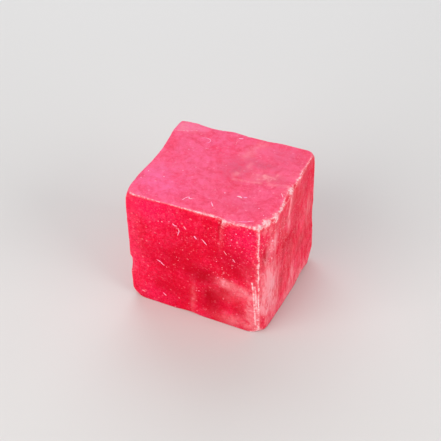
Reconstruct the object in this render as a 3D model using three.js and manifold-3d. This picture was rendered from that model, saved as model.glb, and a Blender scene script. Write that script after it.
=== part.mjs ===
// A sawn cube of rough ruby: one piece of corundum, cut on six sides, its corners worn and its edges chipped.
// Millimetres, +Z up. The origin is the middle of the footprint, on the sawn face that the stone rests on.
// The front face looks along -Y, and the bevel is on the edge between the front and the right face (+X).
import * as THREE from "three";
import { mergeVertices } from "three/addons/utils/BufferGeometryUtils.js";
import Module from "manifold-3d";

const wasm = await Module();
wasm.setup();

// Driving dimensions of the sawn block
const width = 15.3; // left to right across the front
const depth = 13.6; // front to back
const height = 14.2; // foot to top
const edgeWear = 0.16; // radius that handling has left along every edge
const wearBlend = 0.12; // how softly a worn corner runs into its faces

// Surface cells of the block: their size, and how far they crowd towards the edges (1 is even)
const cellSize = 0.72;
const edgeCrowding = 1.8;

const half = new THREE.Vector3(width / 2, depth / 2, height / 2);
const left = -half.x;
const right = half.x;
const front = -half.y;
const back = half.y;
const top = height;

// The four upright edges: how far each is out of square, as [x, y] at its top and foot,
// and how deep its two tips are worn away along the corner's diagonal
const uprights = [
  { side: [-1, -1], leanTop: [-0.07, 0.2], leanFoot: [0.11, 0.48], wornTop: 0.46, wornFoot: 0.54 },
  { side: [1, -1], leanTop: [-0.05, 0.2], leanFoot: [-0.42, 0.0], wornTop: 0.3, wornFoot: 0.62 },
  { side: [1, 1], leanTop: [-0.14, 0.2], leanFoot: [0.28, 0.1], wornTop: 0.32, wornFoot: 0.85 },
  { side: [-1, 1], leanTop: [0.06, 0.25], leanFoot: [0.2, -0.2], wornTop: 0.22, wornFoot: 0.8 },
];

// The saw's drift: a slow wave left in every face but the foot
const driftHeight = 0.05;
const driftLength = 6.5;

// The right face bellies out towards its foot
const bellyOut = 0.14;

// A hairline crack runs down the front face from its top edge, and the slab to its right stands proud
// until it sinks back towards the bevel
const crackX = 2.6;
const crackWidth = 0.5;
const slabProud = 0.24;
const slabSinksFrom = 4.2;
const slabSinksTo = 6.8;
const slabFadesFrom = 12.5;
const slabFadesTo = 8;
const footBlend = 2; // the slow forms fade out over this height above the foot

// The bevel on the front right edge, by where it leaves the front face and the right face
const bevelFrontTop = new THREE.Vector3(6.52, front, top);
const bevelRightTop = new THREE.Vector3(right - 0.03, -4.3, top);
const bevelFrontFoot = new THREE.Vector3(6.8, front - 0.3, 0);

// The lip at the back left corner of the top: a small face that falls away behind a straight line
const lipStart = new THREE.Vector3(-7.1, 4.76, top);
const lipEnd = new THREE.Vector3(-5.12, 5.49, top);
const lipFall = THREE.MathUtils.degToRad(7);

// Shell-shaped chips: a point on an edge or face, the way that it faces, the hollow's radius and its depth
const chips = {
  leftTopScoop: { at: [left, 1.0, top], faces: [-0.95, 0, 0.3], radius: 25, deep: 0.37 },
  leftEdgeNotch: { at: [left, front, 4.6], faces: [-0.8, -0.6, 0], radius: 2.3, deep: 0.66 },
  crackNotch: { at: [crackX, front, top], faces: [0, -0.6, 0.8], radius: 0.8, deep: 0.2 },
  frontEdgeFlake: { at: [-2.2, front, top], faces: [0, -0.8, 0.6], radius: 9, deep: 0.2 },
  frontEdgeSplinter: { at: [6.9, front, 2.2], faces: [0.34, -0.94, 0], radius: 32, deep: 0.1 },
  bevelCrumble: { at: [7.2, -5.1, top], faces: [0.75, -0.25, 0.6], radius: 1.5, deep: 0.16 },
  rightEdgeFlake: { at: [right, -0.3, top], faces: [0.8, 0, 0.6], radius: 9, deep: 0.32 },
  rightBackFlake: { at: [right, 3.4, top], faces: [0.7, 0, 0.7], radius: 9, deep: 0.18 },
  backEdgeDip: { at: [-3.6, back, top], faces: [0, 0.85, 0.5], radius: 9, deep: 0.13 },
  backEdgeFlake: { at: [1.2, back, top], faces: [0, 0.95, 0.3], radius: 14, deep: 0.1 },
  frontFootFlake: { at: [-1.2, front, 0], faces: [0, -0.7, -0.7], radius: 9, deep: 0.36 },
  rightFootFlake: { at: [right, 3.4, 0], faces: [0.75, 0, -0.65], radius: 8, deep: 0.14 },
  backShell: { at: [1.2, back, 7.6], faces: [0.03, 1, -0.03], radius: 18, deep: 0.26 },
  backFootChip: { at: [-2.6, back, 0], faces: [0, 0.7, -0.7], radius: 4.5, deep: 0.6 },
  backRightNick: { at: [right - 0.8, back, 6.1], faces: [0.25, 0.97, 0], radius: 5, deep: 0.2 },
  leftShell: { at: [left, -2.2, 6.4], faces: [-1, 0.1, -0.1], radius: 16, deep: 0.25 },
  leftBackNick: { at: [left, back, 8.6], faces: [-0.7, 0.7, 0], radius: 4.2, deep: 0.42 },
  leftFootChip: { at: [left, 2.2, 0], faces: [-0.7, 0, -0.7], radius: 4.0, deep: 0.46 },
};
const chipFacets = 5; // facets from the middle of a chip to its rim
const weldDistance = 1e-5; // corners of the surface nearer than this are one

// 0 below from, 1 above to, with a smooth ramp between
function ramp(value, from, to) {
  const t = THREE.MathUtils.clamp((value - from) / (to - from), 0, 1);
  return t * t * (3 - 2 * t);
}

// A point of the block's surface, rounded over at the edges, and the way that the surface faces there
function wornBlock(cube) {
  const inner = half.clone().subScalar(edgeWear);
  const point = cube.clone().multiply(half);
  const core = point.clone().clamp(inner.clone().negate(), inner);
  const facing = point.sub(core).normalize();
  return { point: core.addScaledVector(facing, edgeWear), facing };
}

// Moves a point with the block's out-of-square corners, each by its share, and lifts it onto the foot
function lean(point) {
  const across = point.x / half.x;
  const along = point.y / half.y;
  const up = (point.z + half.z) / height;
  point.z += half.z;
  for (const { side, leanTop, leanFoot } of uprights) {
    const share = ((1 + side[0] * across) * (1 + side[1] * along)) / 4;
    point.x += share * THREE.MathUtils.lerp(leanFoot[0], leanTop[0], up);
    point.y += share * THREE.MathUtils.lerp(leanFoot[1], leanTop[1], up);
  }
}

// The slow forms of the sawn faces: the saw's drift, the right face's belly and the proud slab
function swell(point, facing) {
  const wave = (a, b) => Math.sin((2 * Math.PI * a) / driftLength + Math.sin((Math.PI * b) / driftLength));
  const drift = wave(point.x + point.z, point.y) + wave(point.y - point.z, point.x);
  const belly = Math.max(0, facing.x) * (1 - (point.y / half.y) ** 2) * (1 - point.z / height);
  const pastCrack = ramp(point.x, crackX - crackWidth / 2, crackX + crackWidth / 2);
  const raised = pastCrack * (1 - ramp(point.x, slabSinksFrom, slabSinksTo));
  const slab = Math.max(0, -facing.y) * raised * ramp(point.z, slabFadesTo, slabFadesFrom);
  point.addScaledVector(facing, (driftHeight / 2) * drift * ramp(point.z, 0, footBlend));
  point.x += bellyOut * belly;
  point.y -= slabProud * slab;
}

// The eight corner tips, each with the diagonal that it is worn away along
const tips = uprights.flatMap(({ side, leanTop, leanFoot, wornTop, wornFoot }) => {
  const tip = (rise, shift, worn) => ({
    at: new THREE.Vector3(side[0] * half.x + shift[0], side[1] * half.y + shift[1], rise > 0 ? top : 0),
    diagonal: new THREE.Vector3(side[0], side[1], rise).normalize(),
    worn,
  });
  return [tip(1, leanTop, wornTop), tip(-1, leanFoot, wornFoot)];
});

// Presses a point below a corner's wear, blending into the faces around it
function wearTip(point, { at, diagonal, worn }) {
  const beyond = point.clone().sub(at).dot(diagonal) + worn;
  point.addScaledVector(diagonal, -wearBlend * Math.log1p(Math.exp(beyond / wearBlend)));
}

// Where a point of a cube's surface, from -1 to 1 each way, lies on the sawn block
function blockPoint(cube) {
  const { point, facing } = wornBlock(cube);
  lean(point);
  swell(point, facing);
  for (const tip of tips) wearTip(point, tip);
  point.z = Math.max(0, point.z);
  return point;
}

// Crowds an even spacing, from -1 to 1, towards its two ends
function crowd(even) {
  return Math.sign(even) * (1 - (1 - Math.abs(even)) ** edgeCrowding);
}

function blockGeometry() {
  const cells = [width, depth, height].map((length) => Math.round(length / cellSize));
  const geometry = new THREE.BoxGeometry(2, 2, 2, ...cells);
  const position = geometry.getAttribute("position");
  const cube = new THREE.Vector3();
  for (let i = 0; i < position.count; i++) {
    cube.fromBufferAttribute(position, i);
    cube.set(crowd(cube.x), crowd(cube.y), crowd(cube.z));
    position.setXYZ(i, ...blockPoint(cube));
  }
  return geometry;
}

// A block twice as wide as the stone, standing on the outer side of a plane
function beyondPlane(point, normal) {
  const reach = 2 * width;
  const geometry = new THREE.BoxGeometry(reach, reach, reach).translate(0, 0, reach / 2);
  const turn = new THREE.Quaternion().setFromUnitVectors(new THREE.Vector3(0, 0, 1), normal);
  return geometry.applyQuaternion(turn).translate(...point);
}

function bevelCutter() {
  const plane = new THREE.Plane().setFromCoplanarPoints(bevelFrontTop, bevelFrontFoot, bevelRightTop);
  return beyondPlane(bevelFrontTop, plane.normal);
}

function lipCutter() {
  const line = lipEnd.clone().sub(lipStart).normalize();
  const outward = new THREE.Vector3(-line.y, line.x, 0);
  const normal = new THREE.Vector3(0, 0, Math.cos(lipFall)).addScaledVector(outward, Math.sin(lipFall));
  return beyondPlane(lipStart, normal);
}

// The ball whose skin is a chip's hollow, faceted to suit the chip's rim
function chipCutter({ at, faces, radius, deep }) {
  const facet = Math.sqrt(2 * radius * deep) / chipFacets;
  const ball = new THREE.IcosahedronGeometry(radius, Math.ceil(radius / facet));
  const outward = new THREE.Vector3(...faces).normalize();
  return ball.translate(...new THREE.Vector3(...at).addScaledVector(outward, radius - deep));
}

// A closed geometry as a solid that can be cut
function solidOf(geometry) {
  geometry.deleteAttribute("normal");
  geometry.deleteAttribute("uv");
  const merged = mergeVertices(geometry, weldDistance);
  return new wasm.Manifold(
    new wasm.Mesh({
      numProp: 3,
      vertProperties: new Float32Array(merged.getAttribute("position").array),
      triVerts: new Uint32Array(merged.index.array),
    }),
  );
}

// A solid as a geometry with its footprint's middle at the origin
function geometryOf(solid) {
  const { vertProperties, triVerts } = solid.getMesh();
  const geometry = new THREE.BufferGeometry();
  geometry.setAttribute("position", new THREE.BufferAttribute(vertProperties, 3));
  geometry.setIndex(new THREE.BufferAttribute(triVerts, 1));
  geometry.computeBoundingBox();
  const middle = geometry.boundingBox.getCenter(new THREE.Vector3());
  geometry.translate(-middle.x, -middle.y, -geometry.boundingBox.min.z);
  geometry.computeVertexNormals();
  return geometry;
}

const cutters = [bevelCutter(), lipCutter(), ...Object.values(chips).map(chipCutter)];
const stone = cutters.reduce((solid, cutter) => solid.subtract(solidOf(cutter)), solidOf(blockGeometry()));

const ruby = new THREE.MeshStandardMaterial({ color: 0xd81e46, roughness: 0.45, metalness: 0 });

const rubyCube = new THREE.Mesh(geometryOf(stone), ruby);
rubyCube.name = "ruby_cube";

const part = new THREE.Group();
part.add(rubyCube);

export default part;
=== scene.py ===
import math

import bpy
import numpy as np
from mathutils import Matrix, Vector


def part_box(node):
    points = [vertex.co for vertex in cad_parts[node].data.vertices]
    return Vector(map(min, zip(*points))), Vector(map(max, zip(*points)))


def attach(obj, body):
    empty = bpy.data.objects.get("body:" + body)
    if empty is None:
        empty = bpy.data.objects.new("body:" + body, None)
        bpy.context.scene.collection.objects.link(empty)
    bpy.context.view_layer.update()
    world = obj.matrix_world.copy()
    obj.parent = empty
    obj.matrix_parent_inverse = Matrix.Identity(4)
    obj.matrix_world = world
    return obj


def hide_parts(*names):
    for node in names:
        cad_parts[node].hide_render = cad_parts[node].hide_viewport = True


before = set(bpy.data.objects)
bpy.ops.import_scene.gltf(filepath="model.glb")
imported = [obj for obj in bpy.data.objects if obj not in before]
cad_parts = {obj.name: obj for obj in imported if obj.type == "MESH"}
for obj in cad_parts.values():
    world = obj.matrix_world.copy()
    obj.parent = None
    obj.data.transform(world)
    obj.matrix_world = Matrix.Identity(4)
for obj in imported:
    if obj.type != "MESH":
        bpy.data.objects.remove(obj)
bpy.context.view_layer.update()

mm = 0.001
stoneLow, stoneHigh = [np.array(corner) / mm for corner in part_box("ruby_cube")]
print("frame loaded, stone box in mm", (stoneHigh - stoneLow).round(2))

# The sawn block, in mm. Its size is the frame's box less the slack that lean and belly take up.
block = {
    "slack": (0.288, 0.339, 0.05),
    "edgeWear": 0.16,  # radius along every edge
    "tipBlend": 0.12,  # how softly a worn corner runs into its faces
    "cells": (134, 120, 128),  # along x, y and z
    "crowding": 1.3,  # 1 spaces the cells evenly, more crowds them to the edges
    "driftHeight": 0.05,  # the saw's slow wave
    "driftLength": 6.5,
    "footBlend": 2.0,  # slow forms fade out over this height above the foot
    "bellyOut": 0.14,  # the right face, towards its foot
}
half = (stoneHigh - stoneLow - block["slack"]) / 2
left, front = -half[:2]
right, back = half[:2]
top = 2 * half[2]

# upright edges: how far out of square at top and foot, how deep the tips are worn
uprights = [
    {"side": (-1, -1), "leanTop": (-0.07, 0.2), "leanFoot": (0.11, 0.48), "wornTop": 0.46, "wornFoot": 0.54},
    {"side": (1, -1), "leanTop": (-0.05, 0.2), "leanFoot": (-0.42, 0.0), "wornTop": 0.3, "wornFoot": 0.62},
    {"side": (1, 1), "leanTop": (-0.14, 0.2), "leanFoot": (0.28, 0.1), "wornTop": 0.32, "wornFoot": 0.85},
    {"side": (-1, 1), "leanTop": (0.06, 0.25), "leanFoot": (0.2, -0.2), "wornTop": 0.22, "wornFoot": 0.8},
]

# the crack in the front face and the proud slab to its right
crack = {
    "path": ((2.72, 14.3), (2.7, 13.9), (2.54, 13.3), (2.4, 12.6), (2.5, 11.95), (2.36, 11.2)),  # x and z
    "width": 0.5,
    "proud": 0.22,
    "sinks": (4.2, 6.8),  # the slab sinks back between these x
    "fades": (8, 12.5),  # and between these heights
    "hairline": (11.0, 13.2),  # the groove fades out between these
    "grooveWidth": 0.08,
    "grooveDepth": 0.09,
    "grooveFacing": (0.5, 0.9),  # how far the skin must face the front
    # how dark the painted shade along the groove is
    "shade": 0.75,
    "shadeSpread": 1.4,  # the painted shade's width over the groove's
}

# three points of the bevel down the front right edge
bevel = {
    "frontTop": (6.52, front, top),
    "frontFoot": (6.8, front - 0.3, 0),
    "rightTop": (right - 0.03, -4.3, top),
    "softness": 0.03,
}

# the small lip at the back left of the top: its line, and how many degrees it falls
lip = {"start": (-7.1, 4.76, top), "end": (-5.12, 5.49, top), "fall": 7, "softness": 0.02}

# shell-shaped chips: a point, the way it faces, the hollow's radius and depth
chips = {
    "leftTopScoop": {"at": (left, 1.0, top), "faces": (-0.95, 0, 0.3), "radius": 25, "deep": 0.37},
    "leftEdgeNotch": {"at": (left, front, 4.6), "faces": (-0.8, -0.6, 0), "radius": 2.3, "deep": 0.66},
    "crackNotch": {"at": (2.6, front, top), "faces": (0, -0.6, 0.8), "radius": 0.8, "deep": 0.2},
    "frontEdgeFlake": {"at": (-2.2, front, top), "faces": (0, -0.8, 0.6), "radius": 9, "deep": 0.2},
    "frontEdgeSplinter": {"at": (6.9, front, 2.2), "faces": (0.34, -0.94, 0), "radius": 32, "deep": 0.1},
    "bevelCrumble": {"at": (7.2, -5.1, top), "faces": (0.75, -0.25, 0.6), "radius": 1.5, "deep": 0.16},
    "rightEdgeFlake": {"at": (right, -0.3, top), "faces": (0.8, 0, 0.6), "radius": 9, "deep": 0.32},
    "rightBackFlake": {"at": (right, 3.4, top), "faces": (0.7, 0, 0.7), "radius": 9, "deep": 0.18},
    "backEdgeDip": {"at": (-3.6, back, top), "faces": (0, 0.85, 0.5), "radius": 9, "deep": 0.13},
    "backEdgeFlake": {"at": (1.2, back, top), "faces": (0, 0.95, 0.3), "radius": 14, "deep": 0.1},
    "frontFootFlake": {"at": (-1.2, front, 0), "faces": (0, -0.7, -0.7), "radius": 9, "deep": 0.36},
    "rightFootFlake": {"at": (right, 3.4, 0), "faces": (0.75, 0, -0.65), "radius": 8, "deep": 0.14},
    "backShell": {"at": (1.2, back, 7.6), "faces": (0.03, 1, -0.03), "radius": 18, "deep": 0.26},
    "backFootChip": {"at": (-2.6, back, 0), "faces": (0, 0.7, -0.7), "radius": 4.5, "deep": 0.6},
    "backRightNick": {"at": (right - 0.8, back, 6.1), "faces": (0.25, 0.97, 0), "radius": 5, "deep": 0.2},
    "leftShell": {"at": (left, -2.2, 6.4), "faces": (-1, 0.1, -0.1), "radius": 16, "deep": 0.25},
    "leftBackNick": {"at": (left, back, 8.6), "faces": (-0.7, 0.7, 0), "radius": 4.2, "deep": 0.42},
    "leftFootChip": {"at": (left, 2.2, 0), "faces": (-0.7, 0, -0.7), "radius": 4.0, "deep": 0.46},
}
chipRim = {"softness": 0.015, "ringHeight": 0.012, "ringLength": 1.1, "ringsFrom": (0.04, 0.2)}

# what the saw, handling and time have left on the skin, in mm
relief = {
    "sawHeight": 0.006,
    "sawLength": 0.62,
    "sawAlong": (0.25, 0.42, 0.87),
    "sawBend": 0.3,  # how far noise bends the saw lines
    "sawBendSize": 3.1,
    "lumpHeight": 0.008,
    "lumpSize": 1.3,
    "pits": 260,
    "pitRadius": (0.12, 0.34),
    "pitDepth": (0.015, 0.055),
    "crumbDepth": 0.07,
    "crumbSizes": (0.85, 0.34),
    "smallCrumbs": 0.8,  # share of the smaller size
    "crumbRange": (-0.2, 0.9),  # the noise between which a crumb deepens
    "footFade": 0.3,  # all of it fades out over this height above the foot
    "wearBlur": 80,  # rounds of smoothing that the wear is measured against
    "wearHeight": 0.1,  # a ridge this far above the smoothed skin is fully worn
    "seed": 11,
    "noiseSeeds": {"saw": 21, "lumps": 22, "large": 23, "small": 24},
}


# a vector over its own length
def unit(vector):
    vector = np.array(vector, float)
    return vector / np.linalg.norm(vector)


# smooth step: 0 before start, 1 after end, 3 t squared less 2 t cubed between
def ramp(value, start, end):
    t = np.clip((value - start) / (end - start), 0, 1)
    return t * t * (3 - 2 * t)


# value noise from -1 to 1: random numbers on a lattice, blended smoothly from a cell's eight corners
def cloud(points, cell, seed):
    period = 48
    table = np.random.default_rng(seed).uniform(-1, 1, (period, period, period))
    base = np.floor(points / cell).astype(int)
    share = ramp(points / cell - base, 0, 1)
    total = np.zeros(len(points))
    for corner in np.ndindex(2, 2, 2):
        weight = np.prod(np.where(corner, share, 1 - share), axis=1)
        i, j, k = ((base + corner) % period).T
        total += weight * table[i, j, k]
    return total


# six grids (u, v) on the sides of a cube from -1 to 1, joined along their shared rims;
# each coordinate t is crowded to its ends as sign(t) (1 - (1 - |t|) ^ crowding)
def cubeSkin(cells, crowding):
    counts = np.array(cells)
    places, quads, start = [], [], 0
    for axis in range(3):
        across, along = (axis + 1) % 3, (axis + 2) % 3
        u, v = np.meshgrid(np.arange(counts[across] + 1), np.arange(counts[along] + 1), indexing="ij")
        for side in (0, 1):
            place = np.zeros(u.shape + (3,), int)
            place[..., axis] = side * counts[axis]
            place[..., across] = u
            place[..., along] = v
            number = start + np.arange(u.size).reshape(u.shape)
            ring = [number[:-1, :-1], number[1:, :-1], number[1:, 1:], number[:-1, 1:]]
            quads.append(np.stack(ring if side else ring[::-1], axis=-1).reshape(-1, 4))
            places.append(place.reshape(-1, 3))
            start += u.size
    places, joined = np.unique(np.concatenate(places), axis=0, return_inverse=True)
    even = 2 * places / counts - 1
    cube = np.sign(even) * (1 - (1 - np.abs(even)) ** crowding)
    return cube, joined.ravel()[np.concatenate(quads)]


# clamp a point into the block shrunk by the edge radius, then step out by that radius along what is left
def sawnBlock(cube):
    inner = half - block["edgeWear"]
    core = np.clip(cube * half, -inner, inner)
    way = cube * half - core
    facing = way / np.linalg.norm(way, axis=1, keepdims=True)
    return core + facing * block["edgeWear"], facing


# each upright edge pulls a point by its share: the product of the point's shares of the box along x and y
def leaned(points):
    across, along, up = (points / half).T
    rise = (up + 1) / 2
    points = points + (0, 0, half[2])
    for edge in uprights:
        share = (1 + edge["side"][0] * across) * (1 + edge["side"][1] * along) / 4
        pull = np.outer(1 - rise, edge["leanFoot"]) + np.outer(rise, edge["leanTop"])
        points[:, :2] += share[:, None] * pull
    return points


# the crack's x at each height, read off its path
def crackAt(height):
    across, up = np.array(crack["path"][::-1]).T
    return np.interp(height, up, across)


# two crossed sine waves for the saw's drift, a bulge that grows to the foot, and a step at the crack
def swollen(points, facing):
    x, y, z = points.T
    turn = 2 * np.pi / block["driftLength"]
    drift = np.sin(turn * (x + z) + np.sin(turn * y / 2)) + np.sin(turn * (y - z) + np.sin(turn * x / 2))
    belly = np.maximum(0, facing[:, 0]) * (1 - (y / half[1]) ** 2) * (1 - z / top)
    raised = ramp(x - crackAt(z), -crack["width"] / 2, crack["width"] / 2)
    raised *= (1 - ramp(x, *crack["sinks"])) * ramp(z, *crack["fades"])
    slab = np.maximum(0, -facing[:, 1]) * raised
    lift = block["driftHeight"] / 2 * drift * ramp(z, 0, block["footBlend"])
    points = points + facing * lift[:, None]
    points[:, 0] += block["bellyOut"] * belly
    points[:, 1] -= crack["proud"] * slab
    return points


# what stands beyond a plane goes back onto it along the normal, by a softened maximum
def pressed(points, onPlane, normal, softness):
    beyond = (points - onPlane) @ normal
    return points - np.outer(softness * np.logaddexp(0, beyond / softness), normal)


# each tip is pressed onto a plane square to its diagonal, set in from the corner by the wear
def wornTips(points):
    for edge in uprights:
        tips = ((1, edge["leanTop"], edge["wornTop"]), (-1, edge["leanFoot"], edge["wornFoot"]))
        for rise, lean, worn in tips:
            diagonal = unit((*edge["side"], rise))
            tip = np.array((*(half[:2] * edge["side"] + lean), top if rise > 0 else 0))
            points = pressed(points, tip - diagonal * worn, diagonal, block["tipBlend"])
    return points


# the front right edge is pressed onto the plane through the bevel's three points
def bevelled(points):
    names = ("frontTop", "frontFoot", "rightTop")
    frontTop, frontFoot, rightTop = [np.array(bevel[name]) for name in names]
    normal = unit(np.cross(frontFoot - frontTop, rightTop - frontTop))
    return pressed(points, frontTop, normal, bevel["softness"])


# flat direction square to the lip's line, away from the middle of the top
def lipOutward():
    line = unit(np.subtract(lip["end"], lip["start"]))
    return np.array((-line[1], line[0], 0))


# behind the lip's line the top is pressed onto a plane that falls away outwards
def lipped(points):
    fall = math.radians(lip["fall"])
    normal = lipOutward() * math.sin(fall) + (0, 0, math.cos(fall))
    return pressed(points, lip["start"], normal, lip["softness"])


# what lies inside a chip's ball moves out to its skin along the radius, by a softened maximum,
# and the hollow carries faint rings, a sine of the distance from where the blow fell
def chipped(points, chip):
    outward = unit(chip["faces"])
    blow = np.array(chip["at"])
    centre = blow + outward * (chip["radius"] - chip["deep"])
    way = points - centre
    reach = np.linalg.norm(way, axis=1)
    push = chipRim["softness"] * np.logaddexp(0, (chip["radius"] - reach) / chipRim["softness"])
    rings = np.sin(2 * np.pi * np.linalg.norm(points - blow, axis=1) / chipRim["ringLength"])
    push += chipRim["ringHeight"] * rings * ramp(push, *chipRim["ringsFrom"])
    return points + way * (push / reach)[:, None]


# each corner's normal is the sum of its quads' normals, a quad's being the cross of its diagonals
def normalsOf(points, quads):
    a, b, c, d = (points[quads[:, k]] for k in range(4))
    cross = np.cross(c - a, d - b)
    sums = [np.bincount(quads.ravel(), np.repeat(column, 4), len(points)) for column in cross.T]
    total = np.stack(sums, axis=1)
    return total / np.linalg.norm(total, axis=1, keepdims=True)


# every pair of neighbouring corners, once
def neighbours(quads):
    ends = np.stack([quads, np.roll(quads, -1, axis=1)], axis=-1).reshape(-1, 2)
    return np.unique(np.sort(ends, axis=1), axis=0).T


# a blur over the skin: each round moves a point half way to the mean of its neighbours
def blurred(values, pairs, rounds):
    first, second = pairs
    size = len(values)
    count = np.bincount(first, minlength=size) + np.bincount(second, minlength=size)
    for _ in range(rounds):
        means = [
            (np.bincount(first, column[second], size) + np.bincount(second, column[first], size)) / count
            for column in values.T
        ]
        values = (values + np.stack(means, axis=1)) / 2
    return values


# distance of flat points from a bent line, the least over its straight stretches
def awayFromLine(points, path):
    nearest = np.full(len(points), np.inf)
    path = np.array(path)
    for start, end in zip(path[:-1], path[1:]):
        run = end - start
        share = np.clip((points - start) @ run / (run @ run), 0, 1)
        nearest = np.minimum(nearest, np.linalg.norm(points - start - share[:, None] * run, axis=1))
    return nearest


# how worn a ridge is, 0 to 1: its height over the blurred skin
def ridges(points, normals, pairs):
    height = ((points - blurred(points, pairs, relief["wearBlur"])) * normals).sum(axis=1)
    return np.clip(height / relief["wearHeight"], 0, 1)


# the crack's thin groove: a bell curve of the distance from its path, on what faces the front
def hairline(points, normals, width):
    bell = np.exp(-((awayFromLine(points[:, (0, 2)], crack["path"]) / width) ** 2))
    toward = ramp(-normals[:, 1], *crack["grooveFacing"])
    return bell * toward * ramp(points[:, 2], *crack["hairline"])


# crumbly wear: everywhere, and more on the edges that were knocked most
wearShare = {
    "everywhere": 0.36,
    "frontTop": (0.55, 0.85),  # at the left end, and from the middle on
    "rightTop": (0.85, 0.6),  # at the front, and at the back
    "bevelUpright": 1.0,
    "bevelFrom": (5.2, 6.0),  # x over which the bevel's wear sets in
    "reach": 0.9,
}


# the share of the nearest knocked edge, each fading over the reach
def knocked(points):
    x, y, z = points.T
    reach = wearShare["reach"]
    nearTop = ramp(z, top - reach, top - reach / 2)
    nearFront = ramp(-y, -front - reach, -front - reach / 2)
    nearRight = ramp(x, right - reach, right - reach / 2)
    share = np.full(len(points), wearShare["everywhere"])
    share = np.maximum(share, np.interp(x, (left, 0), wearShare["frontTop"]) * nearTop * nearFront)
    share = np.maximum(share, np.interp(y, (0, back), wearShare["rightTop"]) * nearTop * nearRight)
    return np.maximum(share, wearShare["bevelUpright"] * nearFront * ramp(x, *wearShare["bevelFrom"]))


# saw lines, soft lumps, round pits, crumbled edges and the crack's groove, each a depth along the normal
def weathered(points, quads, pairs):
    random = np.random.default_rng(relief["seed"])
    seeds = relief["noiseSeeds"]
    normals = normalsOf(points, quads)
    worn = ridges(points, normals, pairs)
    flat = 1 - worn
    bend = relief["sawBend"] * cloud(points, relief["sawBendSize"], seeds["saw"])
    saw = points @ unit(relief["sawAlong"]) + bend
    height = relief["sawHeight"] * np.sin(2 * np.pi * saw / relief["sawLength"]) * flat
    height += relief["lumpHeight"] * cloud(points, relief["lumpSize"], seeds["lumps"]) * flat
    for spot in random.integers(0, len(points), relief["pits"]):
        radius = random.uniform(*relief["pitRadius"])
        away = ((points - points[spot]) ** 2).sum(axis=1) / radius**2
        height -= random.uniform(*relief["pitDepth"]) * np.exp(-2 * away)
    largeSize, smallSize = relief["crumbSizes"]
    large = cloud(points, largeSize, seeds["large"])
    small = cloud(points, smallSize, seeds["small"])
    crumbs = ramp(large + relief["smallCrumbs"] * small, *relief["crumbRange"])
    height -= relief["crumbDepth"] * crumbs * worn * np.minimum(1, knocked(points))
    height -= crack["grooveDepth"] * hairline(points, normals, crack["grooveWidth"])
    height *= ramp(points[:, 2], 0, relief["footFade"])
    return points + normals * height[:, None]


# the block is leaned, swollen, worn, chipped and weathered, then centred on the frame's box
def stoneSkin():
    cube, quads = cubeSkin(block["cells"], block["crowding"])
    pairs = neighbours(quads)
    points, facing = sawnBlock(cube)
    points = swollen(leaned(points), facing)
    points = lipped(bevelled(wornTips(points)))
    for chip in chips.values():
        points = chipped(points, chip)
    points[:, 2] = np.maximum(points[:, 2], 0)
    points = weathered(points, quads, pairs)
    middle = (points.min(axis=0) + points.max(axis=0)) / 2
    points += (stoneLow + stoneHigh) / 2 - middle
    points[:, 2] = np.clip(points[:, 2], stoneLow[2], stoneHigh[2])
    print("stone skin:", len(points), "points,", 2 * len(quads), "triangles")
    return points, quads, pairs


def addObject(name, data):
    thing = bpy.data.objects.new(name, data)
    bpy.context.scene.collection.objects.link(thing)
    return thing


# a smooth mesh from points in mm, with a named value at each point for every attribute
def meshObject(name, points, polygons, attributes=None):
    mesh = bpy.data.meshes.new(name)
    mesh.from_pydata(points * mm, [], polygons)
    for attribute, values in (attributes or {}).items():
        layer = mesh.attributes.new(attribute, "FLOAT", "POINT")
        layer.data.foreach_set("value", values.astype(np.float32))
    mesh.shade_smooth()
    return addObject(name, mesh)


# a soft patch: its middle, its reach along x, y and z, its strength, and its reach upwards if that differs
def patch(middle, reach, strength, above=None):
    return {"at": middle, "reach": reach, "strength": strength, "above": above or reach[2]}


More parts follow.
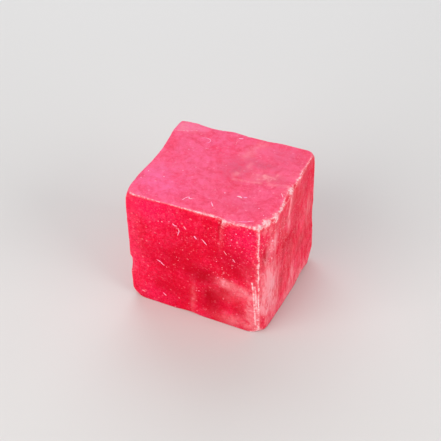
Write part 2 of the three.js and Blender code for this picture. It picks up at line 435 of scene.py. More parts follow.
# Marks in the stone, in mm: soft patches, and lines drawn on a face
marks = {
    "milk": [  # whitish veils
        patch((3.3, front, 6.2), (0.9, 1.2, 1.2), 0.72, above=0.35),
        patch((4.9, front, 6.0), (1.4, 1.2, 1.3), 0.56, above=0.4),
        patch((6.2, front, 3.8), (0.9, 1.6, 3.2), 0.85, above=2.4),
        patch((4.5, front, 5.0), (2.0, 1.2, 1.3), 0.22),
        patch((4.9, front, 0.9), (2.4, 1.0, 0.8), 0.42),
        patch((7.2, -5.6, 5.8), (1.2, 1.5, 4.4), 1.3, above=3.3),
        patch((right, -4.3, 3.6), (1.0, 1.5, 3.2), 0.9),
        patch((7.3, -4.6, 10.8), (0.8, 1.1, 1.8), 0.66),
        patch((7.0, -5.6, 13.2), (0.8, 0.9, 0.9), 0.4),
        patch((right, -0.3, 13.0), (1.0, 0.6, 1.5), 0.55),
        patch((right, -0.6, 11.1), (1.0, 0.7, 1.3), 0.6),
        patch((right, 0.6, 2.4), (1.0, 1.0, 1.8), 0.6),
        patch((right, 1.6, 0.6), (1.0, 5.5, 1.2), 0.56),
        patch((right, 2.1, 13.9), (1.0, 1.0, 0.5), 0.35),
        patch((right, 4.8, 8.2), (1.0, 1.3, 2.0), 0.36),
        patch((-7.3, front, 9.0), (1.0, 0.8, 6.0), 0.08),
        patch((-0.5, front, 1.9), (0.25, 1.0, 1.9), 0.34),
        patch((4.2, 1.0, top), (1.5, 0.9, 0.8), 0.24),
        patch((-6.5, 6.0, top), (1.4, 0.9, 0.8), 0.56),
        patch((-3.0, back, 9.0), (3.2, 1.4, 2.6), 0.34),
        patch((left, 3.0, 4.0), (1.2, 2.4, 3.0), 0.6),
    ],
    "deep": [  # darker ruby
        patch((0.4, front, 6.0), (2.0, 1.5, 1.4), 0.85),
        patch((1.6, front, 3.2), (1.6, 1.5, 2.2), 0.9),
        patch((4.8, front, 2.2), (0.9, 1.0, 0.9), 0.4),
        patch((-3.0, front, 7.0), (3.4, 1.5, 2.6), 0.4),
        patch((-3.0, front, 3.2), (3.0, 1.5, 2.0), 0.3),
        patch((4.0, front, 8.6), (2.6, 1.5, 1.4), 0.55),
        patch((6.95, -6.0, 10.0), (0.6, 0.7, 1.2), 0.7),
        patch((right, -2.0, 7.6), (1.2, 0.7, 2.4), 0.5),
        patch((right, -0.6, 8.2), (1.2, 1.5, 1.6), 0.5),
        patch((right, -2.4, 4.2), (1.2, 0.7, 1.3), 0.6),
        patch((right, 1.4, 9.6), (1.2, 1.2, 2.6), 0.4),
        patch((right, 4.0, 11.6), (1.2, 1.3, 2.2), 0.35),
        patch((right, 2.6, 5.0), (1.2, 1.2, 1.4), 0.3),
        patch((2.0, back, 5.0), (2.6, 1.5, 2.6), 0.8),
        patch((left, -1.5, 9.5), (1.4, 2.4, 2.4), 0.7),
    ],
    "rose": [  # pinker ruby
        patch((-5.0, front, 13.0), (3.4, 1.5, 1.8), 0.9),
        patch((left, front, 8.0), (1.2, 1.5, 6.0), 0.8),
        patch((-5.0, front, 1.2), (2.6, 1.5, 1.0), 0.6),
        patch((5.4, front, 12.2), (1.8, 1.5, 2.2), 0.9),
        patch((3.5, back, 11.5), (3.0, 1.5, 2.0), 0.8),
        patch((left, 4.5, 12.0), (1.5, 2.4, 2.0), 0.8),
    ],
    "smoke": [  # greyer haze in the top
        patch((1.1, 0.9, top), (1.6, 1.8, 1.0), 0.9),
        patch((3.3, 2.8, top), (2.4, 0.8, 1.0), 0.8),
        patch((4.8, 0.9, top), (1.6, 0.9, 1.0), 0.7),
        patch((3.4, -4.2, top), (2.4, 1.0, 1.0), 0.35),
        patch((5.0, 5.0, top), (3.0, 1.8, 1.0), 0.5),
    ],
    "paintedSheenPatches": [  # paler patches of the painted sheen on the top
        patch((-5.4, -4.0, top), (3.2, 2.6, 1.0), 0.6),
        patch((-3.5, 2.5, top), (4.5, 4.0, 1.0), 0.18),
        patch((-6.3, 5.8, top), (1.6, 0.9, 1.0), 0.6),
    ],
    "clear": [  # less haze on the sides
        patch((right, 4.6, 12.0), (1.2, 2.4, 3.2), 0.95),
        patch((right, 1.2, 10.4), (1.2, 1.3, 3.0), 0.7),
        patch((right, 5.0, 6.0), (1.2, 2.4, 4.0), 0.5),
        patch((right, -3.4, 13.4), (1.2, 0.8, 1.0), 0.6),
        patch((right, -0.6, 8.2), (1.2, 2.0, 1.8), 0.9),
        patch((left, -3.0, 8.0), (1.2, 2.4, 2.4), 0.7),
    ],
    "dust": [  # crowds of small white specks
        patch((4.4, front, 10.6), (2.6, 1.5, 3.0), 0.5),
        patch((2.4, front, 6.6), (2.0, 1.5, 1.6), 0.4),
        patch((7.1, -5.4, 11.2), (1.0, 1.7, 3.0), 1.2),
        patch((right, -1.6, 9.4), (1.2, 2.2, 3.6), 0.6),
        patch((right, 2.4, 4.0), (1.2, 2.2, 2.6), 0.35),
        patch((left, 1.0, 5.0), (1.2, 3.0, 3.6), 0.4),
        patch((1.5, back, 10.0), (3.4, 1.5, 3.0), 0.35),
    ],
    "crumble": [  # bruised white patches
        patch((6.6, -6.3, top), (0.5, 0.4, 0.4), 0.9),
        patch((7.0, -5.4, top), (0.45, 0.7, 0.5), 1.1),
        patch((7.3, -4.2, top), (0.3, 0.6, 0.35), 0.75),
        patch((2.4, front, top), (0.45, 0.35, 0.3), 0.7),
        patch((6.9, front, 0.5), (0.6, 0.6, 0.5), 0.5),
        patch((right, -2.2, top), (0.35, 0.4, 0.3), 0.6),
        patch((right - 0.25, 0.1, top - 0.1), (0.45, 0.55, 0.4), 1.0),
        patch((-6.3, front, 1.1), (0.4, 0.5, 0.3), 0.4),
    ],
    "whiteLines": {  # bruised white lines
        "top": [{"path": ((-7.2, 4.8), (-5.3, 5.5)), "width": 0.16, "strength": 0.4}],
        "front": [
            {"path": ((5.98, 7.0), (6.13, 5.9), (6.33, 3.4), (6.5, 1.3)), "width": 0.1, "strength": 0.9},
            {"path": ((6.32, 6.5), (6.42, 5.2), (6.53, 3.6)), "width": 0.1, "strength": 0.8},
        ],
    },
    "wisps": {  # soft milky lines
        "top": [
            {"path": ((1.4, -0.6), (2.2, -0.5), (4.2, -0.1)), "width": 0.16, "strength": 0.5},
            {"path": ((3.3, 1.0), (3.9, 1.0), (4.7, 0.6)), "width": 0.17, "strength": 0.85},
            {"path": ((4.0, 1.15), (5.2, 1.0)), "width": 0.16, "strength": 0.85},
            {"path": ((3.6, 0.35), (4.3, 0.6), (5.0, 1.2)), "width": 0.16, "strength": 0.55},
            {"path": ((4.7, 0.3), (5.3, 1.7)), "width": 0.16, "strength": 0.5},
            {"path": ((5.0, 0.0), (6.9, 0.4)), "width": 0.18, "strength": 0.5},
            {"path": ((1.2, 0.1), (2.0, 1.5), (2.1, 2.5)), "width": 0.3, "strength": 0.32},
            {"path": ((1.2, 3.4), (1.4, 4.5), (2.1, 5.9)), "width": 0.6, "strength": 0.28},
        ],
        "right": [
            {"path": ((-0.1, 13.9), (-0.43, 12.7), (-0.75, 11.3)), "width": 0.34, "strength": 0.8},
        ],
    },
    "lineFacing": (0.4, 0.7),  # how far the skin must face a line's way
    "warp": 0.4,  # how far noise bends a patch's outline, as a share of its least reach
    "warpSize": 1.6,
    "warpSeeds": (31, 32, 33),
}

# the two flat coordinates of a face, the one that points out of it, and which way that goes
faces = {
    "top": {"flat": (0, 1), "out": 2, "sign": 1},
    "front": {"flat": (0, 2), "out": 1, "sign": -1},
    "right": {"flat": (1, 2), "out": 0, "sign": 1},
}

# painted sheen on the top, stronger behind the lip, and streaky haze on the right side and less of it on the
# left
sheenAndSideHaze = {
    # strength of the painted sheen on skin that faces up, and behind the lip
    "up": 0.72,
    "lip": 1.0,
    "lipEdge": (-0.1, 0.1),  # the lip's stronger painted sheen sets in over this, in mm from its line
    "sides": 0.12,
    "left": 0.5,
    "deepClears": 0.7,  # how far a dark patch thins the haze
    "blur": 6,  # rounds of smoothing of the normals that the facings are read from
    "facesUp": (0.55, 0.95),
    "facesAside": (0.4, 0.9),
    "turnsUp": (0.3, 0.6),  # a side that turns up this far is no longer a side
}


# the largest of several bell curves, exp(-|(p - middle) / reach| squared), on points bent by noise
def patches(points, kind):
    bend = np.stack([cloud(points, marks["warpSize"], seed) for seed in marks["warpSeeds"]], axis=1)
    total = np.zeros(len(points))
    for spot in marks[kind]:
        bent = points + marks["warp"] * min(spot["reach"]) * bend
        away = (bent - spot["at"]) / spot["reach"]
        rising = away[:, 2] > 0
        away[rising, 2] *= spot["reach"][2] / spot["above"]
        total = np.maximum(total, spot["strength"] * np.exp(-(away**2).sum(axis=1)))
    return total


# lines on a face: a bell curve of the distance from each path, where the skin faces that way
def drawnLines(points, normals, kind):
    total = np.zeros(len(points))
    for name, lines in marks[kind].items():
        face = faces[name]
        toward = ramp(face["sign"] * normals[:, face["out"]], *marks["lineFacing"])
        for line in lines:
            away = awayFromLine(points[:, face["flat"]], line["path"])
            bell = np.exp(-((away / line["width"]) ** 2))
            total = np.maximum(total, line["strength"] * bell * toward)
    return total


# a share from 0 to about 1 at each point for every kind of mark, wear, painted sheen on the top, painted
# shade along the crack, and side haze
def skinAttributes(points, quads, pairs):
    normals = normalsOf(points, quads)
    soft = blurred(normals, pairs, sheenAndSideHaze["blur"])
    kinds = ("milk", "deep", "rose", "smoke", "crumble", "dust", "paintedSheenPatches", "clear")
    share = {kind: patches(points, kind) for kind in kinds}
    share["crumble"] = np.maximum(share["crumble"], drawnLines(points, normals, "whiteLines"))
    share["wear"] = np.minimum(1, knocked(points) * ridges(points, normals, pairs))
    # painted sheen: a paler colour on skin that faces up, with more of it behind the lip
    behindLip = ramp((points - lip["start"]) @ lipOutward(), *sheenAndSideHaze["lipEdge"])
    upward = ramp(soft[:, 2], *sheenAndSideHaze["facesUp"])
    share["paintedSheen"] = (sheenAndSideHaze["up"] + (sheenAndSideHaze["lip"] - sheenAndSideHaze["up"]) * behindLip) * upward
    share["paintedSheenPatches"] *= upward
    rightward = ramp(soft[:, 0], *sheenAndSideHaze["facesAside"])
    leftward = ramp(-soft[:, 0], *sheenAndSideHaze["facesAside"])
    sideways = rightward + sheenAndSideHaze["left"] * leftward
    share["side"] = sideways * (1 - ramp(soft[:, 2], *sheenAndSideHaze["turnsUp"]))
    thinned = np.maximum(sheenAndSideHaze["deepClears"] * share["deep"], share.pop("clear"))
    haze = sheenAndSideHaze["sides"] * share["side"] * (1 - thinned)
    veils = np.maximum(share["milk"], drawnLines(points, normals, "wisps"))
    share["milk"] = np.maximum(veils, haze)
    # a dark line of painted shade along the crack's groove, added to the darker ruby
    paintedCrackShade = crack["shade"] * hairline(points, normals, crack["shadeSpread"] * crack["grooveWidth"])
    share["deep"] = np.maximum(share["deep"], paintedCrackShade)
    return share


# a material with its node tree and its shader
def newMaterial(name):
    material = bpy.data.materials.new(name)
    material.use_nodes = True
    return material, material.node_tree, material.node_tree.nodes["Principled BSDF"]


# links each value that is a socket, and sets every other one
def setInputs(tree, node, values):
    for name, value in values.items():
        if isinstance(value, bpy.types.NodeSocket):
            tree.links.new(value, node.inputs[name])
        else:
            node.inputs[name].default_value = value


def addNode(tree, kind, sockets=None, **settings):
    node = tree.nodes.new(kind)
    for name, value in settings.items():
        setattr(node, name, value)
    setInputs(tree, node, sockets or {})
    return node


def mathNode(tree, operation, *values):
    return addNode(tree, "ShaderNodeMath", dict(enumerate(values)), operation=operation).outputs[0]


def stepNode(tree, value, start, end, low=0.0, high=1.0, kind="SMOOTHSTEP"):
    sockets = {"Value": value, "From Min": start, "From Max": end, "To Min": low, "To Max": high}
    return addNode(tree, "ShaderNodeMapRange", sockets, interpolation_type=kind).outputs[0]


def mixNode(tree, share, first, second):
    return addNode(tree, "ShaderNodeMix", {0: share, 6: first, 7: second}, data_type="RGBA").outputs[2]


def noiseNode(tree, place, scale, detail=3.0, roughness=0.5, distortion=0.0):
    sockets = {"Vector": place, "Scale": scale, "Detail": detail}
    sockets.update({"Roughness": roughness, "Distortion": distortion})
    return addNode(tree, "ShaderNodeTexNoise", sockets).outputs[0]


# places in mm from the object's own coordinates, turned and stretched for streaks
def placeNode(tree, stretch=(1, 1, 1), turn=(0, 0, 0)):
    coords = addNode(tree, "ShaderNodeTexCoord").outputs["Object"]
    scale = [value / mm for value in stretch]
    turned = addNode(tree, "ShaderNodeMapping", {"Vector": coords, "Rotation": turn})
    return addNode(tree, "ShaderNodeMapping", {"Vector": turned.outputs[0], "Scale": scale}).outputs[0]


# places moved about by noise, so that what is drawn from them is uneven
def unevenPlace(tree, place, scale, detail, reach):
    noise = addNode(tree, "ShaderNodeTexNoise", {"Vector": place, "Scale": scale, "Detail": detail})
    sockets = {0: noise.outputs["Color"], 1: (reach, reach, reach), 2: place}
    return addNode(tree, "ShaderNodeVectorMath", sockets, operation="MULTIPLY_ADD").outputs[0]


# soft specks round the random points of a cell texture, full up to the core's share of the radius:
# a cell's own number fades its speck by (1 - number / share) squared, so that few are strong
def speckNode(tree, place, scale, radius, share, core=0.2):
    cells = addNode(tree, "ShaderNodeTexVoronoi", {"Vector": place, "Scale": scale})
    number = addNode(tree, "ShaderNodeSeparateColor", {"Color": cells.outputs["Color"]}).outputs[0]
    strength = mathNode(tree, "POWER", stepNode(tree, number, share, 0.0, kind="LINEAR"), 2.0)
    dot = stepNode(tree, cells.outputs["Distance"], radius * scale, core * radius * scale)
    return mathNode(tree, "MULTIPLY", dot, strength)


# a share that the skin carries at each point
def shareNode(tree, name):
    return addNode(tree, "ShaderNodeAttribute", attribute_name=name).outputs["Fac"]


# Ruby colours, linear red green blue alpha, its noises per mm and the finish of its sawn skin
ruby = {
    "deep": (0.46, 0.0004, 0.007, 1),
    "body": (0.80, 0.003, 0.031, 1),
    "bright": (0.93, 0.006, 0.056, 1),
    "rose": (0.96, 0.010, 0.095, 1),
    "bloom": (1.0, 0.080, 0.19, 1),
    # the painted sheen on the top, and its paler patches
    "paintedSheen": (0.97, 0.135, 0.27, 1),
    "paintedSheenPatches": (0.98, 0.16, 0.37, 1),
    "smoke": (0.70, 0.10, 0.185, 1),
    "milk": (0.96, 0.30, 0.35, 1),
    "speck": (1.0, 0.45, 0.54, 1),
    "worn": (1.0, 0.70, 0.72, 1),
    "clouds": {"scale": 0.28, "detail": 4, "distortion": 0.6},
    "mottle": {"scale": 2.3, "detail": 4, "roughness": 0.66, "distortion": 0.4},
    "curds": {"scale": 0.9, "detail": 6, "roughness": 0.68, "distortion": 0.5},
    "streaks": {"scale": 1.8, "detail": 4, "roughness": 0.6, "distortion": 1.0},
    "streakStretch": (1, 1, 0.32),
    "streakShare": 0.75,  # how far curds give way to streaks on the sides
    "grain": {"scale": 6.0, "detail": 2, "roughness": 0.7},
    "drifts": {"scale": 0.45, "detail": 6, "roughness": 0.65, "distortion": 1.2},
    "clusters": {"scale": 0.45, "detail": 2},
    "largeSpecks": {"scale": 2.0, "radius": 0.16, "share": 0.6},
    "largeShare": 0.4,  # how far large specks show outside the dust
    "smallSpecks": {"scale": 4.2, "radius": 0.09, "share": 0.8},
    "speckWobble": {"scale": 5.0, "detail": 2, "reach": 0.3},
    "dashes": {"scale": 1.3, "radius": 0.09, "share": 0.35},
    "dashStretch": (1, 1, 0.28),
    "dashTurn": (0, 0.585, 0),  # dashes fall to the right on the front face
    "crumbs": {"scale": 4.2, "detail": 4, "roughness": 0.75},
    "polish": {"scale": 0.9, "detail": 5},
    "ior": 1.77,
    "specular": 0.012,  # the sawn skin mirrors less than polished ruby does
    "wornRoughness": 0.22,  # added where the stone is bruised white
    "speckHeight": 0.5,  # a speck's bump over the grain's
    "bumpStrength": 0.35,
    "bumpHeight": 0.05 * mm,
    "glow": 0.7,  # share of light that goes through the skin
    "glowReach": 1.0 * mm,
    "glowColour": (1.0, 0.16, 0.18),
}

# how each noise or share is read: between the first two values it goes from the third to the fourth
rubySteps = {
    "clouds": (0.36, 0.66, 0.0, 1.0),
    "lively": (-0.6, 1.0, 0.1, 1.0),  # how far blooms show, by how bright the stone is
    "bloom": (0.42, 0.74, 0.0, 0.65),
    "sunk": (0.7, 0.35, 0.85, 1.0),
    "grain": (0.52, 0.25, 0.0, 0.6),
    "drifts": (0.3, 0.7, -0.36, 0.36),
    "flecks": (0.3, 0.7, 0.78, 1.22),
    "grey": (0.3, 0.7, 0.4, 0.9),
    "curds": (0.34, 0.66, 0.25, 1.7),
    "streaks": (0.34, 0.66, 0.3, 1.4),
    "bareStreaks": (0.34, 0.66, -0.07, 0.09),  # added where there is no milk
    "clusters": (0.35, 0.65, 0.06, 0.4),
    "hidden": (0.2, 0.9, 1.0, 0.35),  # specks, in the dark patches
    "frayed": (0.3, 0.7, -0.45, 0.45),
    "patchy": (0.4, 0.6, 0.55, 1.0),
    "white": (0.3, 1.0, 0.0, 1.0),
    "halo": (0.05, 0.6, 0.0, 0.3),  # milk round the bruises
    "roughness": (0.3, 0.7, 0.36, 0.56),
}


def rubyStep(tree, value, name, kind="SMOOTHSTEP"):
    return stepNode(tree, value, *rubySteps[name], kind=kind)


# body colour in large soft clouds, rosier and darker in patches, with pink blooms and a fine dark grain; the
# dark patches also carry the painted shade along the crack
def bodyColour(tree, place, grain, mottle, deep, rose):
    clouds = rubyStep(tree, noiseNode(tree, place, **ruby["clouds"]), "clouds")
    colour = mixNode(tree, clouds, ruby["body"], ruby["bright"])
    colour = mixNode(tree, rose, colour, ruby["rose"])
    lively = mathNode(tree, "SUBTRACT", mathNode(tree, "MAXIMUM", clouds, rose), deep)
    share = rubyStep(tree, lively, "lively", kind="LINEAR")
    bloom = mathNode(tree, "MULTIPLY", rubyStep(tree, mottle, "bloom"), share)
    colour = mixNode(tree, bloom, colour, ruby["bloom"])
    sunk = mathNode(tree, "MULTIPLY", deep, rubyStep(tree, mottle, "sunk"))
    colour = mixNode(tree, sunk, colour, ruby["deep"])
    return mixNode(tree, rubyStep(tree, grain, "grain"), colour, ruby["deep"])


# painted sheen on the top in soft drifts and flecks, paler in its patches and greyer in the smoky patches
def paintedSheenOver(tree, colour, place, mottle, paintedSheen, paintedSheenPatches, smoke):
    drifts = rubyStep(tree, noiseNode(tree, place, **ruby["drifts"]), "drifts")
    uneven = mathNode(tree, "ADD", rubyStep(tree, mottle, "flecks"), drifts)
    colour = mixNode(tree, mathNode(tree, "MULTIPLY", paintedSheen, uneven), colour, ruby["paintedSheen"])
    colour = mixNode(tree, mathNode(tree, "MULTIPLY", paintedSheenPatches, uneven), colour, ruby["paintedSheenPatches"])
    grey = mathNode(tree, "MULTIPLY", smoke, rubyStep(tree, mottle, "grey"))
    return mixNode(tree, grey, colour, ruby["smoke"])


# milk in soft curds, which give way to upright streaks on the sides, and a little streaking without milk
def veilOver(tree, colour, place, milk, side):
    curds = rubyStep(tree, noiseNode(tree, place, **ruby["curds"]), "curds")
    streaks = noiseNode(tree, placeNode(tree, ruby["streakStretch"]), **ruby["streaks"])
    streaky = mathNode(tree, "SUBTRACT", rubyStep(tree, streaks, "streaks"), curds)
    streakier = mathNode(tree, "MULTIPLY", side, ruby["streakShare"])
    uneven = mathNode(tree, "MULTIPLY_ADD", streakier, streaky, curds)
    bare = mathNode(tree, "MULTIPLY", side, rubyStep(tree, streaks, "bareStreaks"))
    veil = mathNode(tree, "MULTIPLY_ADD", milk, uneven, bare)
    return mixNode(tree, stepNode(tree, veil, 0.0, 1.0, kind="LINEAR"), colour, ruby["milk"])


# how far specks and dashes show, 0 to 1: more in the dusty patches, fewer in the dark ones
def speckShare(tree, place, dust, deep):
    clusters = rubyStep(tree, noiseNode(tree, place, **ruby["clusters"]), "clusters")
    crowd = mathNode(tree, "ADD", dust, clusters)
    uneven = unevenPlace(tree, place, **ruby["speckWobble"])
    many = mathNode(tree, "ADD", dust, ruby["largeShare"])
    large = mathNode(tree, "MULTIPLY", speckNode(tree, uneven, **ruby["largeSpecks"]), many)
    small = mathNode(tree, "MULTIPLY", speckNode(tree, uneven, **ruby["smallSpecks"]), crowd)
    dashes = speckNode(tree, placeNode(tree, ruby["dashStretch"], ruby["dashTurn"]), **ruby["dashes"])
    specks = mathNode(tree, "MAXIMUM", mathNode(tree, "MAXIMUM", large, dashes), small)
    return mathNode(tree, "MULTIPLY", specks, rubyStep(tree, deep, "hidden"))


# how far worn edges and bruises are white, 0 to 1
def whitening(tree, place, bruised):
    crumbs = noiseNode(tree, place, **ruby["crumbs"])
    frayed = mathNode(tree, "ADD", bruised, rubyStep(tree, crumbs, "frayed", kind="LINEAR"))
    patchy = rubyStep(tree, crumbs, "patchy")
    return mathNode(tree, "MULTIPLY", rubyStep(tree, frayed, "white"), patchy)


def rubyMaterial():
    material, tree, shader = newMaterial("roughRuby")
    place = placeNode(tree)
    grain = noiseNode(tree, place, **ruby["grain"])
    names = ("milk", "deep", "rose", "smoke", "crumble", "dust", "paintedSheenPatches", "wear", "paintedSheen", "side")
    shares = {name: shareNode(tree, name) for name in names}
    bruised = mathNode(tree, "MAXIMUM", shares["wear"], shares["crumble"])

    mottle = noiseNode(tree, place, **ruby["mottle"])
    colour = bodyColour(tree, place, grain, mottle, shares["deep"], shares["rose"])
    # the top's painted sheen
    colour = paintedSheenOver(tree, colour, place, mottle, shares["paintedSheen"], shares["paintedSheenPatches"], shares["smoke"])
    colour = veilOver(tree, colour, place, shares["milk"], shares["side"])
    specks = speckShare(tree, place, shares["dust"], shares["deep"])
    colour = mixNode(tree, specks, colour, ruby["speck"])
    colour = mixNode(tree, rubyStep(tree, bruised, "halo"), colour, ruby["milk"])
    white = whitening(tree, place, bruised)
    colour = mixNode(tree, white, colour, ruby["worn"])

    polish = rubyStep(tree, noiseNode(tree, place, **ruby["polish"]), "roughness")
    roughness = mathNode(tree, "MULTIPLY_ADD", white, ruby["wornRoughness"], polish)
    bumps = mathNode(tree, "MULTIPLY_ADD", specks, ruby["speckHeight"], grain)
    sockets = {"Height": bumps, "Strength": ruby["bumpStrength"], "Distance": ruby["bumpHeight"]}
    bump = addNode(tree, "ShaderNodeBump", sockets)

    finish = {
        "Base Color": colour,
        "Roughness": roughness,
        "Normal": bump.outputs[0],
        "IOR": ruby["ior"],
        "Specular IOR Level": ruby["specular"],
        "Subsurface Weight": ruby["glow"],
        "Subsurface Scale": ruby["glowReach"],
        "Subsurface Radius": ruby["glowColour"],
    }
    setInputs(tree, shader, finish)
    print("ruby material:", len(tree.nodes), "nodes")
    return material


def makeStone():
    points, quads, pairs = stoneSkin()
    piece = meshObject("rubyStone", points, quads, skinAttributes(points, quads, pairs))
    piece.data.materials.append(rubyMaterial())
    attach(piece, "root")
    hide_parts("ruby_cube")
    print("stone made")
    return points, normalsOf(points, quads)


# Scratches and grains of crushed white stone, in mm, at the places where the stone has them:
# paths with a half width, and single grains, on the top in x and y and on the front in x and z
scratches = {
    "steps": 16,  # rings along each
    "sides": 6,  # points round a ring
    "flatness": 0.6,  # height over width
    "unevenness": 0.35,
    "grainAlong": (0.55, -0.83),  # the way that grains lie on their face
    "seed": 5,
    "white": (1.0, 0.62, 0.72, 1),
    "pink": (1.0, 0.36, 0.66, 1),
    "patchiness": 3.0,  # noise per mm
    "pinkFrom": (0.4, 0.6),  # the noise between which white turns to pink
    "roughness": (0.3, 0.7, 0.6, 0.8),  # read off the noise like the ruby's steps
    "specular": 0.2,
    "facing": 0.7,  # only skin that faces a scratch's way this far carries it
    "ends": 0.96,  # where the ellipse is cut off, so that the end caps have some width
    "paths": {
        "top": [
            (0.05, ((-2.04, -5.53), (-1.8, -5.02), (-1.55, -4.81), (-1.5, -5.1), (-1.11, -5.02))),
            (0.045, ((0.76, -4.77), (0.93, -5.01), (1.23, -5.4))),
            (0.09, ((2.75, -2.98), (3.0, -2.92), (3.3, -3.0))),
            (0.07, ((3.42, -2.85), (3.72, -2.7))),
            (
                0.024,
                ((-4.31, 4.49), (-3.91, 4.71), (-3.44, 4.68), (-3.2, 4.39), (-3.3, 3.96), (-3.68, 3.81)),
            ),
            (0.06, ((-0.71, 5.96), (-0.21, 6.03))),
            (0.035, ((6.59, -0.8), (6.83, -1.14), (7.0, -1.4))),
            (0.03, ((4.23, -6.45), (5.03, -6.2), (5.76, -5.76))),
        ],
        "front": [
            (0.05, ((-2.6, 11.83), (-2.4, 11.6), (-2.1, 11.62))),
            (0.042, ((-2.0, 11.39), (-1.88, 11.04), (-1.99, 10.75), (-2.07, 10.43))),
            (0.055, ((-4.58, 6.27), (-4.1, 6.1), (-3.95, 5.9), (-3.7, 5.75))),
            (0.075, ((-0.3, 10.95), (-0.02, 10.62))),
            (0.05, ((0.52, 10.85), (1.08, 10.2))),
            (0.045, ((3.88, 9.41), (4.15, 9.02))),
            (0.03, ((2.96, 10.21), (3.23, 9.72))),
            (0.05, ((-4.02, 1.69), (-3.68, 1.39))),
        ],
    },
    "grains": {
        "top": [
            (0.07, (1.45, -2.97)), (0.045, (-0.6, 5.09)), (0.055, (5.42, -3.88)), (0.04, (-4.73, 2.18)),
            (0.055, (-5.17, -2.97)), (0.05, (-7.01, -2.67)), (0.05, (-7.24, -3.98)), (0.04, (6.24, -4.7)),
            (0.04, (3.39, 5.52)),
        ],
        "front": [
            (0.045, (-4.16, 11.63)), (0.055, (-3.75, 11.69)), (0.045, (-2.97, 11.92)), (0.05, (-2.54, 11.7)),
            (0.06, (4.28, 12.94)), (0.055, (3.83, 12.08)), (0.045, (3.17, 12.51)), (0.06, (5.68, 13.4)),
            (0.05, (5.51, 13.08)), (0.05, (3.7, 11.29)), (0.04, (4.21, 11.11)), (0.05, (2.11, 8.4)),
            (0.045, (2.68, 9.06)), (0.045, (2.72, 7.8)), (0.04, (3.81, 8.13)), (0.045, (2.28, 6.35)),
            (0.05, (2.93, 6.43)), (0.055, (0.15, 3.62)), (0.06, (-6.4, 1.1)), (0.035, (-4.16, 8.63)),
            (0.03, (-2.33, 7.36)), (0.035, (-2.15, 6.99)), (0.04, (-3.45, 5.62)), (0.035, (-1.6, 10.14)),
        ],
    },
}


# a bent line read off evenly along its length, its bends rounded by a running mean
def evenPath(path, steps):
    path = np.array(path, float)
    along = np.append(0, np.cumsum(np.linalg.norm(np.diff(path, axis=0), axis=1)))
    even = np.linspace(0, along[-1], steps)
    line = np.stack([np.interp(even, along, column) for column in path.T], axis=1)
    line[1:-1] = (line[:-2] + 2 * line[1:-1] + line[2:]) / 4
    return line


# a flattened ring carried along a path that lies on the skin; its radius is that of an ellipse, roughened
def scratchTube(halfWidth, path, face, skin, normals, random):
    steps, sides = scratches["steps"], scratches["sides"]
    line = evenPath(path, steps)
    facing = face["sign"] * normals[:, face["out"]] > scratches["facing"]
    away = ((line[:, None, :] - skin[facing][None][:, :, face["flat"]]) ** 2).sum(axis=2)
    centre = np.zeros((steps, 3))
    centre[:, face["flat"]] = line
    centre[:, face["out"]] = skin[facing][away.argmin(axis=1), face["out"]]
    outward = np.zeros(3)
    outward[face["out"]] = face["sign"]
    along = np.gradient(centre, axis=0)
    aside = np.cross(outward, along)
    aside /= np.linalg.norm(aside, axis=1, keepdims=True)
    run = np.linspace(-scratches["ends"], scratches["ends"], steps)
    radius = halfWidth * np.sqrt(1 - run**2) * (1 + scratches["unevenness"] * random.uniform(-1, 1, steps))
    angle = 2 * np.pi * np.arange(sides) / sides
    wide = np.cos(angle)[None, :, None] * aside[:, None, :]
    high = scratches["flatness"] * np.sin(angle)[None, :, None] * outward
    return centre[:, None, :] + radius[:, None, None] * (wide + high)


# quads between neighbouring rings, and the two end rings as caps
def tubeFaces(start):
    steps, sides = scratches["steps"], scratches["sides"]
    ring = start + np.arange(steps * sides).reshape(steps, sides)
    turned = np.roll(ring, -1, axis=1)
    quads = np.stack([ring[:-1], turned[:-1], turned[1:], ring[1:]], axis=-1).reshape(-1, 4)
    return quads.tolist() + [ring[0][::-1].tolist(), ring[-1].tolist()]


# white and pink in turns, by noise
def crushedMaterial():
    material, tree, shader = newMaterial("crushedRuby")
    patchy = noiseNode(tree, placeNode(tree), scratches["patchiness"])
    pink = stepNode(tree, patchy, *scratches["pinkFrom"])
    finish = {
        "Base Color": mixNode(tree, pink, scratches["white"], scratches["pink"]),
        "Roughness": stepNode(tree, patchy, *scratches["roughness"]),
        "Specular IOR Level": scratches["specular"],
    }
    setInputs(tree, shader, finish)
    return material


# a tube along each path, and for each grain a short one that reaches a half width either way from its place
def makeScratches(skin, normals):
    random = np.random.default_rng(scratches["seed"])
    rings, allFaces = [], []
    lean = np.array(scratches["grainAlong"])
    for name, paths in scratches["paths"].items():
        grains = [(size, (at - size * lean, at + size * lean)) for size, at in scratches["grains"][name]]
        for halfWidth, path in paths + grains:
            allFaces += tubeFaces(len(rings) * scratches["steps"] * scratches["sides"])
            rings.append(scratchTube(halfWidth, path, faces[name], skin, normals, random))
    piece = meshObject("scratches", np.concatenate(rings).reshape(-1, 3), allFaces)
    piece.data.materials.append(crushedMaterial())
    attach(piece, "root")
    print("scratches made:", len(rings))


# Camera at the photograph's angle: degrees round and up, mm away from the point that it looks at
camera = {
    "azimuth": 22.916,
    "elevation": 40.45,
    "distance": 125.62,
    "aim": (-0.388, 0.280, 7.479),
    "lens": 97.96,  # focal length
    "nearest": 10,  # nothing closer than this is drawn
}


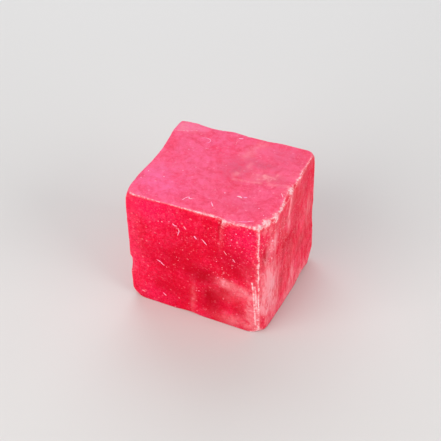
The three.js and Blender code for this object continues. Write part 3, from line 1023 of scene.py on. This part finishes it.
def makeCamera():
    turn, up = math.radians(camera["azimuth"]), math.radians(camera["elevation"])
    away = Vector((math.sin(turn) * math.cos(up), -math.cos(turn) * math.cos(up), math.sin(up)))
    lens = bpy.data.cameras.new("camera")
    lens.lens = camera["lens"]
    lens.clip_start = camera["nearest"] * mm
    eye = addObject("camera", lens)
    eye.location = (Vector(camera["aim"]) + away * camera["distance"]) * mm
    eye.rotation_euler = (-away).to_track_quat("-Z", "Y").to_euler()
    bpy.context.scene.camera = eye
    print("camera placed")


# Soft panels, in mm and watts: where each stands, its side and its power; all aim at the stone
studio = {
    "aim": (0, 0, 7),
    "panels": {
        "backSky": {"at": (-60, 130, 125), "side": 170, "power": 0.175, "colour": (0.92, 0.95, 1.0)},
        "frontKey": {"at": (-90, -170, 120), "side": 190, "power": 0.34, "colour": (1.0, 0.98, 0.96)},
        "rightFill": {"at": (190, -40, 90), "side": 150, "power": 0.23, "colour": (1.0, 0.98, 0.97)},
    },
    "world": 0.35,  # light from all round
    "floorSide": 1200,
    "floorColour": (0.72, 0.71, 0.70, 1),
    "floorRoughness": 0.9,
    "floorSpecular": 0.1,
}


def makeStudio():
    for name, panel in studio["panels"].items():
        light = bpy.data.lights.new(name, "AREA")
        light.size = panel["side"] * mm
        light.energy = panel["power"]
        light.color = panel["colour"]
        lamp = addObject(name, light)
        lamp.location = Vector(panel["at"]) * mm
        toAim = Vector(studio["aim"]) - Vector(panel["at"])
        lamp.rotation_euler = toAim.to_track_quat("-Z", "Y").to_euler()
    world = bpy.data.worlds.new("softRoom")
    world.use_nodes = True
    room = {"Strength": studio["world"], "Color": (1, 1, 1, 1)}
    setInputs(world.node_tree, world.node_tree.nodes["Background"], room)
    bpy.context.scene.world = world
    bpy.context.scene.view_settings.view_transform = "Standard"
    print("studio lit by", len(studio["panels"]), "panels")


def makeFloor():
    reach = studio["floorSide"] / 2
    corners = reach * np.array([(-1, -1, 0), (1, -1, 0), (1, 1, 0), (-1, 1, 0)], float)
    floor = meshObject("floor", corners, [(0, 1, 2, 3)])
    material, tree, shader = newMaterial("paleFloor")
    finish = {
        "Base Color": studio["floorColour"],
        "Roughness": studio["floorRoughness"],
        "Specular IOR Level": studio["floorSpecular"],
    }
    setInputs(tree, shader, finish)
    floor.data.materials.append(material)
    print("floor laid")


makeCamera()
makeStudio()
makeFloor()
makeScratches(*makeStone())
